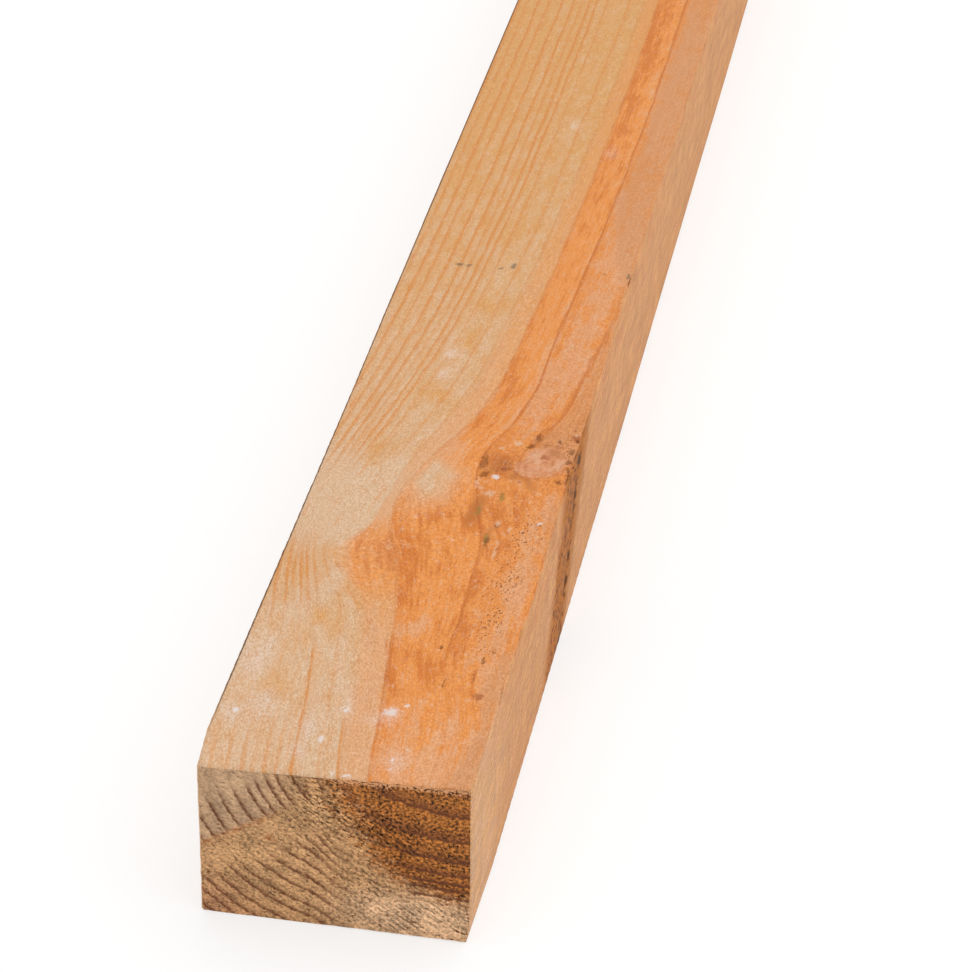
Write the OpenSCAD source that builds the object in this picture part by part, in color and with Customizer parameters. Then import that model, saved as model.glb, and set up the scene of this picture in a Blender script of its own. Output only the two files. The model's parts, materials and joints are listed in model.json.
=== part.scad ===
// Rough-sawn softwood plank, one piece of stock.
// X runs across the width, Y along the length with the near end at -Y, and Z is up.
// The origin is the centre of the underside.

/* [Sawn section] */
// Width across the wide faces
plank_width = 75; // [50:1:150]
// Thickness at the left edge, as it came off the saw
thickness_left = 48.2; // [35:0.1:100]
// Thickness at the right edge, as it came off the saw
thickness_right = 50.8; // [35:0.1:100]
// Radius of the four long arrises
arris_radius = 0.8; // [0.3:0.1:4]

/* [Length] */
// Length that the plank is sold in
plank_length = 1800; // [600:300:4800]

/* [Left side at the near end] */
// How far the left side runs in at the near end
run_in_depth = 1.4; // [0.4:0.1:4]
// Length over which it runs in
run_in_length = 18; // [8:1:60]

/* [Bruised corner, bottom right of the near end] */
// Width knocked off along the underside
bruise_width = 1.2; // [0.4:0.1:4]
// Height knocked off up the right side
bruise_height = 5; // [1:0.5:12]
// Length knocked off along the arris
bruise_length = 40; // [10:1:80]

/* [Spike knot on the right side] */
// Distance from the near end at which it meets the top arris
knot_top_from_end = 188; // [150:1:300]
// Distance from the near end at which it runs out at the bottom arris
knot_bottom_from_end = 148; // [100:1:250]
// Width of the torn trough at the top arris
trough_width = 15; // [6:0.5:30]
// Depth of the torn trough at the top arris
trough_depth = 1.4; // [0.4:0.1:3]

/* [Hidden] */
$fn = 64;
// Overshoot of every cut past the surface that it leaves through
overshoot = 0.5;
// Share of its own length by which the trough's cutter runs past each arris
trough_overrun = 0.2;

half_width = plank_width / 2;
near_y = -plank_length / 2;
top_slope = (thickness_right - thickness_left) / plank_width;
// Height, measured straight up, of an arris centre below the sloping top
top_inset = arris_radius * sqrt(1 + top_slope * top_slope);
// Unit normal of the top, in the section's own plane
top_normal = [-top_slope, 1] / sqrt(1 + top_slope * top_slope);
// Radius of the cylinder that scoops the trough, from its width and depth
trough_radius = (trough_width * trough_width / 4 + trough_depth * trough_depth) / (2 * trough_depth);

function top_height(x) = thickness_left + (x + half_width) * top_slope;

// Centre of each long arris, from bottom left round to top left
arris_x = half_width - arris_radius;
arris_centres = [
    [-arris_x, arris_radius],
    [arris_x, arris_radius],
    [arris_x, top_height(arris_x) - top_inset],
    [-arris_x, top_height(-arris_x) - top_inset]
];
// Outward normal of each face, from the underside round to the left side
face_normals = [[0, -1], [1, 0], top_normal, [-1, 0]];

// Section as sawn: four flat faces that run tangent into rounded arrises
module sawn_section() {
    polygon([
        for (face = [0:3], end = [0, 1])
            arris_centres[(face + end) % 4] + arris_radius * face_normals[face]
    ]);
    for (centre = arris_centres)
        translate(centre) circle(arris_radius);
}

// Wedge off the left side, which runs in towards the near end
module left_run_in() {
    start = [-half_width, near_y + run_in_length];
    finish = [-half_width + run_in_depth, near_y];
    past = (start - finish) * overshoot;
    outer = start + past;
    inner = finish - past;
    translate([0, 0, -overshoot])
        linear_extrude(max(thickness_left, thickness_right) + 2 * overshoot)
            polygon([inner, outer, [outer.x, inner.y]]);
}

// Splinter knocked off the bottom right corner of the near end:
// a three-sided piece behind the plane through its three stated sizes
module bruised_corner() {
    size = [bruise_width, bruise_length, bruise_height];
    corner = [half_width, near_y, 0];
    // Reach along one axis when the other two stand one overshoot outside
    function reach(axis) = let (a = (axis + 1) % 3, b = (axis + 2) % 3)
        size[axis] * (1 + overshoot / size[a] + overshoot / size[b]);
    translate(corner)
        polyhedron(
            points = [
                [overshoot, -overshoot, -overshoot],
                [-reach(0), -overshoot, -overshoot],
                [overshoot, reach(1), -overshoot],
                [overshoot, -overshoot, reach(2)]
            ],
            faces = [[0, 2, 1], [0, 1, 3], [0, 3, 2], [1, 2, 3]]
        );
}

// Torn trough along the spike knot: deepest at the top arris, running out at the bottom one
module knot_trough() {
    top = [half_width + trough_radius - trough_depth, near_y + knot_top_from_end, thickness_right];
    bottom = [half_width + trough_radius, near_y + knot_bottom_from_end, 0];
    run = top - bottom;
    start = bottom - trough_overrun * run;
    span = norm(run);
    translate(start)
        rotate([0, acos(run.z / span), atan2(run.y, run.x)])
            cylinder(h = span * (1 + 2 * trough_overrun), r = trough_radius);
}

module plank() {
    color("burlywood")
        difference() {
            rotate([90, 0, 0])
                linear_extrude(plank_length, center = true) sawn_section();
            left_run_in();
            bruised_corner();
            knot_trough();
        }
}

plank();
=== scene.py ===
"""Looks of a rough-sawn softwood plank, laid out as a small add-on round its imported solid.

Shapes are worked out in wood millimetres: x across from the left side, y along from the near end, z up.
"""

import json
import math
from types import SimpleNamespace

import bpy
import numpy as np
from mathutils import Matrix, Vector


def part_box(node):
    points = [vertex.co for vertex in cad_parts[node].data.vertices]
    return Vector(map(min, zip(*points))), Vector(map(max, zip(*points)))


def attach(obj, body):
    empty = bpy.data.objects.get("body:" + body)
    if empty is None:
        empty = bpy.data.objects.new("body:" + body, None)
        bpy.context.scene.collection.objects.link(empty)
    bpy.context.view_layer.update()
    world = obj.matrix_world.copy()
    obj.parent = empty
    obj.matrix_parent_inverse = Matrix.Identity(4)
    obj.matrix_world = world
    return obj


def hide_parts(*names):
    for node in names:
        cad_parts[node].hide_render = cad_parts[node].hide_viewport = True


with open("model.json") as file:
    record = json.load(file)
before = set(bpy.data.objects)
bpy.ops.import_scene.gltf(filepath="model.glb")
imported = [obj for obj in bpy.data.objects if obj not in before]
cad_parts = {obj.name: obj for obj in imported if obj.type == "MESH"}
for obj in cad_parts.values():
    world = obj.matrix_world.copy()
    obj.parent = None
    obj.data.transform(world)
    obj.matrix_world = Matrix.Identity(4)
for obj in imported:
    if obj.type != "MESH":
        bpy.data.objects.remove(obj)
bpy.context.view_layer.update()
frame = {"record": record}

bl_info = {
    "name": "Sawn Softwood Plank",
    "version": (1, 0, 0),
    "blender": (4, 5, 0),
    "location": "View3D > Sidebar > Plank",
    "description": "Builds the looks of a rough-sawn plank: relief, rings, knot, torn fibres and stage",
    "category": "Add Mesh",
}

MM = 0.001
PLANK_LOW, PLANK_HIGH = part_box("plank")
MOUNTS = {mount["name"]: mount for mount in frame["record"]["mounts"]}
TOP_AXIS = MOUNTS["top_face"]["axis"]
TOP_SLOPE = -TOP_AXIS[0] / TOP_AXIS[2]
FULL_WIDTH = PLANK_HIGH.x - PLANK_LOW.x
FULL_LENGTH = PLANK_HIGH.y - PLANK_LOW.y
MIDDLE_THICKNESS = MOUNTS["top_face"]["pos_m"][2]

# Growth lines as they run along the top, in mm: stations along the length, then each line's places
GRAIN_STATIONS = (0, 30, 58, 82, 96, 110, 122, 140, 164, 188, 206, 240, 300, 420)
GRAIN_LINES = (
    (-14, -14.5, -15, -16, -16.5, -17, -17.5, -17, -15.5, -13, -11, -8, -5, -3),
    (3, 2.2, 1.2, -1, -2.5, -3.6, -4, -3.6, -1, 2, 4.2, 7, 9.3, 11.2),
    (14.5, 13.2, 12, 8, 5.2, 3.5, 3, 3.5, 6.8, 10.5, 13.3, 17.8, 21.5, 24),
    (25.2, 23, 19.2, 15.2, 11.5, 8, 8.5, 10, 14.5, 19, 22, 26.5, 30.5, 33.5),
    (38.2, 34.5, 31.1, 26.6, 18.9, 13.6, 20, 23.4, 27, 32.4, 36, 39, 43, 47.5),
    (46.6, 44.1, 40.6, 37.5, 35, 31.8, 28, 26.3, 32, 40.7, 44.4, 47, 49.6, 53),
    (64.5, 64.3, 57.8, 58.2, 57.6, 57.3, 56.5, 51.2, 47.3, 53.5, 56.6, 57.8, 60.5, 64),
    (90,) * len(GRAIN_STATIONS),
)
# Share of the grain's lean round the knot that is left at the underside
LEAN_AT_UNDERSIDE = 0.25
# Pith, in mm, seen on the near end
PITH_X, PITH_Z = 72.0, 57.0
# Rings are wider towards the left: distance left of the pith, and that below it with as many rings
RINGS_LEFT = (0, 7.5, 25.4, 33.8, 39.4, 46.8, 57.5, 69, 100)
RINGS_BELOW = (0, 5.4, 14.2, 23, 29.9, 34.7, 42.4, 52, 78)
# Width of each year's ring below the pith, in mm, from the pith outwards
RING_WIDTHS = (9.1, 6.9, 8.2, 6.6, 4.7, 2.9, 2.1, 2.5, 2.2, 3.5, 3.8, 3.5,
               4, 3, 4, 3.5, 3, 3.5, 3, 3.5, 3, 3.5)


def smooth_step(low, high, value):
    """0 up to low, 1 from high, and a smooth S between them."""
    part = np.clip((value - low) / (high - low), 0.0, 1.0)
    return part * part * (3.0 - 2.0 * part)


def flowing(place, stations, values):
    """A smooth curve through stated values: cubic pieces that share their slopes at the stations."""
    stations = np.asarray(stations, float)
    values = np.asarray(values, float)
    slopes = np.gradient(values, stations)
    piece = np.clip(np.searchsorted(stations, place) - 1, 0, len(stations) - 2)
    gap = stations[piece + 1] - stations[piece]
    part = np.clip((place - stations[piece]) / gap, 0.0, 1.0)
    rest = 1.0 - part
    ends = values[piece] * rest * rest * (1.0 + 2.0 * part)
    ends = ends + values[piece + 1] * part * part * (1.0 + 2.0 * rest)
    return ends + gap * part * rest * (slopes[piece] * rest - slopes[piece + 1] * part)


def lattice_number(cells, seed):
    """A fixed number from 0 to 1 for each whole-number cell, mixed from its three counts and a seed."""
    mixed = cells @ np.array([73856093, 19349663, 83492791], np.int64) + np.int64(seed * 7919 + 104729)
    mixed = (mixed ^ (mixed >> 15)) * np.int64(1274126177)
    mixed = (mixed ^ (mixed >> 13)) * np.int64(668265263)
    return ((mixed >> 8) & 0xFFFF) / 65535.0


def rough(points, cell, seed):
    """Smooth random heights from -1 to 1: lattice numbers, blended between each cell's eight corners."""
    scaled = points / np.asarray(cell, float)
    base = np.floor(scaled).astype(np.int64)
    part = scaled - base
    part = part * part * (3.0 - 2.0 * part)
    total = np.zeros(points.shape[:-1])
    for corner in np.ndindex(2, 2, 2):
        weight = np.prod(np.where(corner, part, 1.0 - part), axis=-1)
        total = total + weight * lattice_number(base + np.array(corner), seed)
    return 2.0 * total - 1.0


def patches(x, y, ovals):
    """The highest of some bells: 1 in the middle of an oval, about a fifth on its rim."""
    height = np.zeros(np.shape(x))
    for oval_x, oval_y, half_width, half_length in ovals:
        reach = ((x - oval_x) / half_width) ** 2 + ((y - oval_y) / half_length) ** 2
        height = np.maximum(height, np.exp(-1.6 * reach))
    return height


def colour(values):
    return (*values, 1.0)


def tint(name, description, red, green, blue):
    return bpy.props.FloatVectorProperty(
        name=name, description=description, subtype="COLOR", size=3, min=0.0, max=1.0,
        default=(red, green, blue),
    )


def length(name, description, metres):
    return bpy.props.FloatProperty(
        name=name, description=description, default=metres, min=0.0, unit="LENGTH", precision=4,
    )


class PlankShape(bpy.types.PropertyGroup):
    """Sizes of the sawn plank and of what the saw and the knot did to it."""

    width: length("Width", "Width across the wide faces", FULL_WIDTH)
    length: length("Length", "Length that the plank is sold in", FULL_LENGTH)
    thickness_left: length("Left Thickness", "Thickness at the left edge",
                           MIDDLE_THICKNESS - TOP_SLOPE * FULL_WIDTH / 2)
    thickness_right: length("Right Thickness", "Thickness at the right edge",
                            MIDDLE_THICKNESS + TOP_SLOPE * FULL_WIDTH / 2)
    arris_radius: length("Arris Radius", "Radius of the four long arrises", 0.0008)
    run_in_depth: length("Run-in Depth", "How far the left side runs in at the near end", 0.0014)
    run_in_length: length("Run-in Length", "Length over which it runs in", 0.018)
    bruise_width: length("Bruise Width", "Width knocked off the near bottom right corner", 0.0012)
    bruise_length: length("Bruise Length", "Length knocked off along the arris", 0.040)
    bruise_height: length("Bruise Height", "Height knocked off up the right side", 0.005)
    knot_top: length("Knot Top", "Distance from the near end to where the spike knot meets the top", 0.188)
    knot_bottom: length("Knot Bottom", "Distance from the near end to where it runs out below", 0.148)
    trough_width: length("Trough Width", "Width of the torn trough at the top arris", 0.015)
    trough_depth: length("Trough Depth", "Depth of the torn trough at the top arris", 0.0014)


class PlankFinish(bpy.types.PropertyGroup):
    """Colours of the sawn faces, the end grain and the stage."""

    cream: tint("Cream Sapwood", "Palest sapwood on the faces", 0.71, 0.49, 0.315)
    straw: tint("Straw Sapwood", "Yellower sapwood on the faces", 0.69, 0.365, 0.135)
    sap_line: tint("Sapwood Line", "Late wood in the sapwood", 0.67, 0.27, 0.068)
    orange: tint("Orange Heartwood", "Heartwood on the faces", 0.8, 0.3, 0.07)
    deep_orange: tint("Deep Heartwood", "Deeper orange in the heartwood", 0.67, 0.205, 0.034)
    peach: tint("Peach Heartwood", "Paler heartwood", 0.77, 0.37, 0.17)
    heart_line: tint("Heartwood Line", "Late wood in the heartwood", 0.56, 0.155, 0.024)
    blush: tint("Blush", "Pinkish wood near the pith and on the right side", 0.6, 0.283, 0.125)
    # Mauve in the knot, and on the band beside the torn knot, where it is partly a painted shade of the
    # trough's far flank
    mauve: tint("Mauve", "Smooth band beside the torn knot", 0.4, 0.15, 0.038)
    knot: tint("Knot", "Wood of the knot", 0.68, 0.285, 0.132)
    red_knot: tint("Knot Rings", "Red wood in and round the knot", 0.36, 0.095, 0.022)
    # Brown of resin and torn wood round the knot; in the torn band it is also laid as painted shade
    knot_rim: tint("Knot Rim", "Resin and torn wood round the knot", 0.38, 0.12, 0.02)
    olive: tint("Resin Pocket", "Olive resin", 0.33, 0.19, 0.035)
    torn: tint("Torn Band", "Torn wood along the spike knot", 0.47, 0.155, 0.018)
    # Dark brown of torn specks, dark marks and small pits: partly the torn fibre's own colour, partly a
    # painted shade in their hollows
    speck: tint("Torn Specks", "Small torn specks on the top", 0.2, 0.06, 0.011)
    # Near-black at the bottom of torn pits and cracks is a painted shade there; the same tint colours the
    # hatched line along the left arris
    pit: tint("Pits", "Bottom of torn pits and cracks", 0.075, 0.03, 0.008)
    chalk: tint("White Marks", "Pale dry marks on the top", 0.80, 0.72, 0.69)
    # Cream flecks of torn wood; beside the torn specks the same tint is also a painted highlight
    fleck: tint("Flecks", "Cream flecks of torn wood", 0.78, 0.55, 0.38)
    mould: tint("Grey Specks", "Dark grey weather specks", 0.16, 0.12, 0.07)
    end_sap: tint("End Sapwood", "Sapwood on the end grain", 0.605, 0.338, 0.156)
    end_grey: tint("End Grey", "Smooth greyer block of the end grain", 0.6, 0.375, 0.215)
    end_red: tint("End Red", "Reddish corner of the end grain", 0.54, 0.27, 0.13)
    end_pale: tint("End Pale", "Palest corner of the end grain", 0.77, 0.485, 0.28)
    end_heart: tint("End Heartwood", "Heartwood on the end grain", 0.37, 0.129, 0.027)
    end_line: tint("End Ring", "Late wood on the end grain", 0.15, 0.046, 0.018)
    floor: tint("Floor", "Plain pale floor", 0.93, 0.93, 0.93)


def side_stations(count, span, radius, arc_steps):
    """Places along one side of the section and their distance inside its line.

    An eighth of a turn out of one rounded corner, the flat, and an eighth of a turn into the next.
    """
    turn = np.linspace(math.pi / 4, 0.0, arc_steps + 1)
    arc_place = radius * (1.0 - np.sin(turn))
    arc_inset = radius * (1.0 - np.cos(turn))
    flat = np.linspace(radius, span - radius, count - 2 * arc_steps + 1)[1:-1]
    place = np.concatenate([arc_place, flat, span - arc_place[::-1]])
    inset = np.concatenate([arc_inset, np.zeros(len(flat)), arc_inset[::-1]])
    return place, inset


ACROSS, UP, ARC_STEPS = 64, 38, 3
NOMINAL_HEIGHT = 50.0


def section_loop(shape, density):
    """The rounded section as one closed loop of (x, z) and its outward normals.

    Four sides, anticlockwise from the bottom left corner as the near end is seen, each by side_stations;
    heights are then stretched to the thickness, which grows evenly from left to right.
    """
    width = shape.width / MM
    radius = shape.arris_radius / MM
    across, across_inset = side_stations(ACROSS * density, width, radius, ARC_STEPS * density)
    up, up_inset = side_stations(UP * density, NOMINAL_HEIGHT, radius, ARC_STEPS * density)
    sides = (
        (across, across_inset),
        (width - up_inset, up),
        (width - across, NOMINAL_HEIGHT - across_inset),
        (up_inset, NOMINAL_HEIGHT - up),
    )
    loop = np.concatenate([np.stack(side, -1)[:-1] for side in sides])
    loop[:, 1] *= top_height(shape, loop[:, 0]) / NOMINAL_HEIGHT
    tangent = np.roll(loop, -1, 0) - np.roll(loop, 1, 0)
    normal = np.stack([tangent[:, 1], -tangent[:, 0]], -1)
    return loop, normal / np.linalg.norm(normal, axis=1, keepdims=True)


def top_height(shape, x):
    """Height of the top in mm: an even slope from the left thickness to the right one."""
    share = x * MM / shape.width
    return (shape.thickness_left + (shape.thickness_right - shape.thickness_left) * share) / MM


ROW_STEP, FINE_ROWS, ROW_GROWTH = 1.0, 215, 1.025
# Rounding of the end arrises: distance from the end, and how far the section draws in, per arris radius
END_ROUNDING = ((0.0, 0.5), (0.3, 0.16), (0.75, 0.0))


def row_places(span):
    """Places of the rows along the length: even near the knot, then each step longer by one ratio."""
    rounding = [place for place, _ in END_ROUNDING]
    even = np.arange(2, FINE_ROWS) * ROW_STEP
    count = int(math.log(1.0 + (span - even[-1]) * (ROW_GROWTH - 1.0) / ROW_STEP) / math.log(ROW_GROWTH))
    grown = ROW_STEP * (ROW_GROWTH ** np.arange(1, count) - 1.0) / (ROW_GROWTH - 1.0)
    far = span - np.array(rounding[::-1])
    return np.concatenate([rounding, even, even[-1] + grown, far])


def end_inset(places, shape):
    """How far the section draws in at each row, to round the end arrises."""
    rounding = np.array(END_ROUNDING)
    from_end = np.minimum(places, shape.length / MM - places)
    return np.interp(from_end, rounding[:, 0], rounding[:, 1]) * shape.arris_radius / MM


def coons(loop, across, up):
    """A grid that fills a loop of four sides: facing sides blended in pairs, less their corners' blend."""
    bottom = loop[:across + 1]
    right = loop[across:across + up + 1]
    top = loop[across + up:2 * across + up + 1][::-1]
    left = np.concatenate([loop[2 * across + up:], loop[:1]])[::-1]
    u = ((bottom[:, 0] - bottom[0, 0]) / (bottom[-1, 0] - bottom[0, 0]))[:, None, None]
    v = ((right[:, 1] - right[0, 1]) / (right[-1, 1] - right[0, 1]))[None, :, None]
    grid = bottom[:, None] * (1 - v) + top[:, None] * v + left[None] * (1 - u) + right[None] * u
    corners = loop[0] * (1 - u) * (1 - v) + loop[across] * u * (1 - v)
    corners = corners + top[0] * (1 - u) * v + top[-1] * u * v
    return grid - corners


CAP_DENSITY = 2
# How far the end grids lie inside the section, per arris radius
CAP_INSET = 0.75


def plank_grid(shape):
    """Points, normals and faces of the plank before its relief, in wood mm.

    The section carried along the length in rows, and each end filled by a grid of twice the density,
    which a ring of triangles joins to the last row. Returns points, normals, quads, triangles and is_end.
    """
    loop, loop_normal = section_loop(shape, 1)
    span = shape.length / MM
    rows = row_places(span)
    around = len(loop)
    drawn = loop[None] - end_inset(rows, shape)[:, None, None] * loop_normal[None]
    sides = np.stack([drawn[..., 0], np.repeat(rows[:, None], around, 1), drawn[..., 1]], -1)
    row_normals = np.stack([loop_normal[:, 0], np.zeros(around), loop_normal[:, 1]], -1)
    side_normals = np.repeat(row_normals[None], len(rows), 0)

    row, place = np.meshgrid(np.arange(len(rows) - 1), np.arange(around), indexing="ij")
    after = (place + 1) % around
    here = row * around
    quads = np.stack([here + place, here + around + place, here + around + after, here + after], -1)

    fine, fine_normal = section_loop(shape, CAP_DENSITY)
    across, up = ACROSS * CAP_DENSITY, UP * CAP_DENSITY
    cap = coons(fine - CAP_INSET * shape.arris_radius / MM * fine_normal, across, up)
    column, level = np.meshgrid(np.arange(across), np.arange(up), indexing="ij")
    cell = column * (up + 1) + level
    cap_quads = np.stack([cell, cell + up + 1, cell + up + 2, cell + 1], -1).reshape(-1, 4)
    rim = np.concatenate([
        np.arange(across) * (up + 1),
        across * (up + 1) + np.arange(up),
        np.arange(across, 0, -1) * (up + 1) + up,
        np.arange(up, 0, -1),
    ])
    outer = np.arange(around)
    outer_next = (outer + 1) % around
    first, middle, last = (rim[(CAP_DENSITY * outer + step) % len(rim)] for step in range(3))

    points, normals = [sides.reshape(-1, 3)], [side_normals.reshape(-1, 3)]
    faces = [quads.reshape(-1, 4)]
    triangles, ends = [], [np.zeros(len(points[0]), bool)]
    for end_row, end_place, outward in ((0, rows[0], -1.0), (len(rows) - 1, rows[-1], 1.0)):
        start = sum(len(part) for part in points)
        flat = cap.reshape(-1, 2)
        points.append(np.stack([flat[:, 0], np.full(len(flat), end_place), flat[:, 1]], -1))
        normals.append(np.tile((0.0, outward, 0.0), (len(flat), 1)))
        ends.append(np.ones(len(flat), bool))
        edge = end_row * around
        bridge = np.concatenate([
            np.stack([edge + outer, edge + outer_next, start + middle], -1),
            np.stack([edge + outer, start + middle, start + first], -1),
            np.stack([edge + outer_next, start + last, start + middle], -1),
        ])
        near = outward < 0
        faces.append((start + cap_quads) if near else (start + cap_quads)[:, ::-1])
        triangles.append(bridge if near else bridge[:, ::-1])
    return (np.concatenate(points), np.concatenate(normals), np.concatenate(faces),
            np.concatenate(triangles), np.concatenate(ends))


def straight_place(x, y):
    """Where a point of the top would lie across the width if the grain ran straight from the near end.

    Each growth line is a flowing curve along the length; between two lines the place is shared evenly.
    """
    lines = [flowing(y, GRAIN_STATIONS, places) for places in GRAIN_LINES]
    found = GRAIN_LINES[0][0] + np.minimum(x - lines[0], 0.0)
    for left, right, rest, rest_next in zip(lines, lines[1:], GRAIN_LINES, GRAIN_LINES[1:]):
        found = found + np.clip((x - left) / (right - left), 0.0, 1.0) * (rest_next[0] - rest[0])
    return found


def grain_place(points, shape):
    """Each point's place in straight-grained wood, in mm.

    Its place across is straight_place, with less lean lower down, and wavers a little along the length.
    """
    x, y, z = points.T
    waver = 0.5 * rough(points, (14, 60, 14), 1)
    waver = waver + 1.2 * rough(points, (60, 320, 60), 2) * smooth_step(250, 700, y)
    depth = smooth_step(0.0, 1.0, z / top_height(shape, x))
    lean = LEAN_AT_UNDERSIDE + (1.0 - LEAN_AT_UNDERSIDE) * depth
    straight = x + lean * (straight_place(x, y) - x) + waver * smooth_step(0, 25, y)
    return np.stack([straight, y, z], -1)


def ring_count(grain):
    """Rings between the pith and each point, and its angle from straight below the pith.

    The radius is taken after places left of the pith are drawn in by RINGS_LEFT to RINGS_BELOW.
    """
    left = PITH_X - grain[:, 0]
    drawn = np.where(left > 0, flowing(np.abs(left), RINGS_LEFT, RINGS_BELOW), 0.75 * np.abs(left))
    below = PITH_Z - grain[:, 2]
    radii = np.concatenate([[0.0], np.cumsum(RING_WIDTHS)])
    return np.interp(np.hypot(drawn, below), radii, np.arange(len(radii))), np.arctan2(drawn, below)


def trough_hollow(points, shape):
    """Depth in mm of the torn trough at points of the right side.

    The part of a slanting cylinder that dips below the side: deepest at the top, nothing at the bottom.
    """
    half_chord = shape.trough_width / MM / 2
    deep = shape.trough_depth / MM
    radius = (half_chord * half_chord + deep * deep) / (2.0 * deep)
    width = shape.width / MM
    foot = np.array([width + radius, shape.knot_bottom / MM, 0.0])
    head = np.array([width + radius - deep, shape.knot_top / MM, shape.thickness_right / MM])
    run = (head - foot) / np.linalg.norm(head - foot)
    offset = points - foot
    away = offset - (offset @ run)[:, None] * run
    return np.maximum(radius - np.linalg.norm(away, axis=1), 0.0)


# Sapwood along the length, in mm from the near end: its share of straw yellow,
# and how plainly its rings show
STRAW_STATIONS = (0, 60, 95, 132, 172, 240, 320, 450)
STRAW_SHARES = (0.12, 0.2, 0.6, 0.0, 0.3, 0.55, 0.75, 1.0)
LINE_STATIONS = (0, 72, 86, 106, 120, 150, 168, 220, 300)
LINE_SHARES = (0.5, 0.22, 0.75, 0.65, 0.1, 0.15, 0.6, 0.65, 0.9)
# Rings from the pith within which the wood is heartwood, or nearly so
HEART_RINGS = 3.05
# Rings that stand out on the top: ring, from, to, and how plainly
BOLD_RINGS = (
    (1, 118, 176, 0.8), (1, 172, 2000, 0.75), (1, 56, 124, 0.6), (2, -20, 30, 0.5), (2, 24, 72, 0.8),
    (2, 66, 215, 0.4), (2, 210, 2000, 0.4), (3, -20, 26, 1.0), (3, 78, 112, 0.6), (3, 150, 2000, 0.45),
    (4, 24, 80, 0.4), (5, -20, 60, 1.0),
)
# Left edge of the pinkish wood on the top
PINK_STATIONS = (0, 30, 50, 72, 100, 140, 160, 178, 190, 210, 232, 258, 275, 300, 330, 375, 420)
PINK_PLACES = (66, 71, 68.5, 75, 77, 73, 78, 61.5, 66, 69, 71.2, 73.4, 72.5, 67, 62.3, 63.3, 64)
# Soft ovals of colour on the top in mm: middle across, middle along, half width, half length
SOFT_OVALS = {
    "tongue": ((34, 150, 8, 15), (36, 158, 6, 10)),
    "pale": ((11, 133, 14, 22), (16, 146, 9, 14), (9, 80, 6, 9), (17, 88, 5, 7)),
    "honey": (
        (17, 168, 6, 12), (27, 198, 7, 12), (30, 240, 4, 9), (31, 262, 5, 9), (32, 312, 4, 10),
        (20, 74, 4, 10), (13, 40, 8, 14), (8, 450, 8, 110),
    ),
    "deep": (
        (44, 46, 3, 15), (53, 56, 6, 12), (37, 106, 9, 20), (58, 86, 3, 34), (30, 114, 5, 10),
        (41, 186, 4, 8), (54, 134, 6, 12), (42, 130, 7, 8), (66, 40, 4, 5), (53, 164, 6, 12),
        (63, 120, 4, 20), (56, 450, 5, 120), (49, 210, 3, 20),
    ),
    "peach": (
        (62, 4, 30, 34), (72, 128, 3.5, 26), (72, 50, 7, 18), (70, 90, 5, 46), (36, 176, 6, 22),
        (60, 212, 9, 34), (44, 74, 4, 8), (68, 300, 9, 70), (65, 232, 8, 40), (70, 430, 9, 90),
    ),
    "haze": (
        (11, 30, 6, 8), (26.6, 19, 3, 8), (25, 8, 3, 6), (25.5, 227, 3, 5), (26, 215, 3, 4),
        (38, 394, 3, 6), (46, 31, 5, 5), (34, 31, 3, 4), (5, 26, 3, 3), (52, 8, 3, 8), (56, 372, 3, 3),
        (5, 52, 4, 9),
    ),
    "brown": ((53, 163, 6.5, 11), (61, 178, 3, 7), (51, 137, 1.8, 7), (56, 122, 1.5, 8), (60, 155, 8, 3)),
    "speck": (
        (72, 180, 6, 7), (73.2, 168, 4.5, 17), (65, 74, 9, 20), (66, 98, 9, 26), (68, 124, 9, 24),
        (53, 163, 5, 10),
    ),
}
# Crevice of the spike knot, along the trough's near rim:
# its place at the underside, its lean, and how much wider it gets, both per mm of height
CREVICE_FOOT, CREVICE_LEAN, CREVICE_SPREAD = 145.5, 0.69, 0.2
# Value of the pink field far outside the pink wood, and of the crevice field off the right side
OUTSIDE, FAR_OFF = -9.0, 99.0
# Slope of the saw's strokes across an end
SAW_SLANT = 0.6
# Step in mm over which the pace of the rings is measured, and the least pace, in rings per mm
PACE_STEP, LEAST_PACE = 0.4, 0.005


def plateau(start, full, fade, end, value):
    """1 between full and fade, running out in a smooth S to 0 at start and at end."""
    return smooth_step(start, full, value) * (1.0 - smooth_step(fade, end, value))


def across_stroke(x, z):
    """Place in mm across the saw's slanting strokes on an end."""
    return z - SAW_SLANT * x


def ring_pace(points, normals, is_end, ring, shape):
    """Rings per mm on each face, from how the ring count changes along it.

    The change over a short step across, and over one up, each counted as far as the face lies that way.
    """
    slopes = []
    for axis in (0, 2):
        shifted = points.copy()
        shifted[:, axis] += PACE_STEP
        slopes.append((ring_count(grain_place(shifted, shape))[0] - ring) / PACE_STEP)
    across = slopes[0] * np.where(is_end, 1.0, np.abs(normals[:, 2]))
    up = slopes[1] * np.where(is_end, 1.0, np.abs(normals[:, 0]))
    return np.hypot(across, up) + LEAST_PACE


def ring_show(y, ring, top):
    """How plainly rings show on the long faces: the sapwood's share, or that of a bold ring where one runs.

    Each ring of the sapwood has a strength of its own, and rings on the other faces show by half.
    """
    number = np.round(ring).astype(np.int64)[:, None] * np.array([1, 0, 0])
    strength = 0.55 + 0.75 * lattice_number(number, 23)
    plain = np.where(ring > HEART_RINGS, flowing(y, LINE_STATIONS, LINE_SHARES) * strength, 0.15)
    for bold, first, last, share in BOLD_RINGS:
        here = plateau(bold - 0.6, bold - 0.3, bold + 0.04, bold + 0.2, ring)
        plain = np.maximum(plain, share * here * plateau(first - 6, first + 6, last - 6, last + 6, y))
    return plain * top + 0.5 * (1.0 - top)


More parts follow.
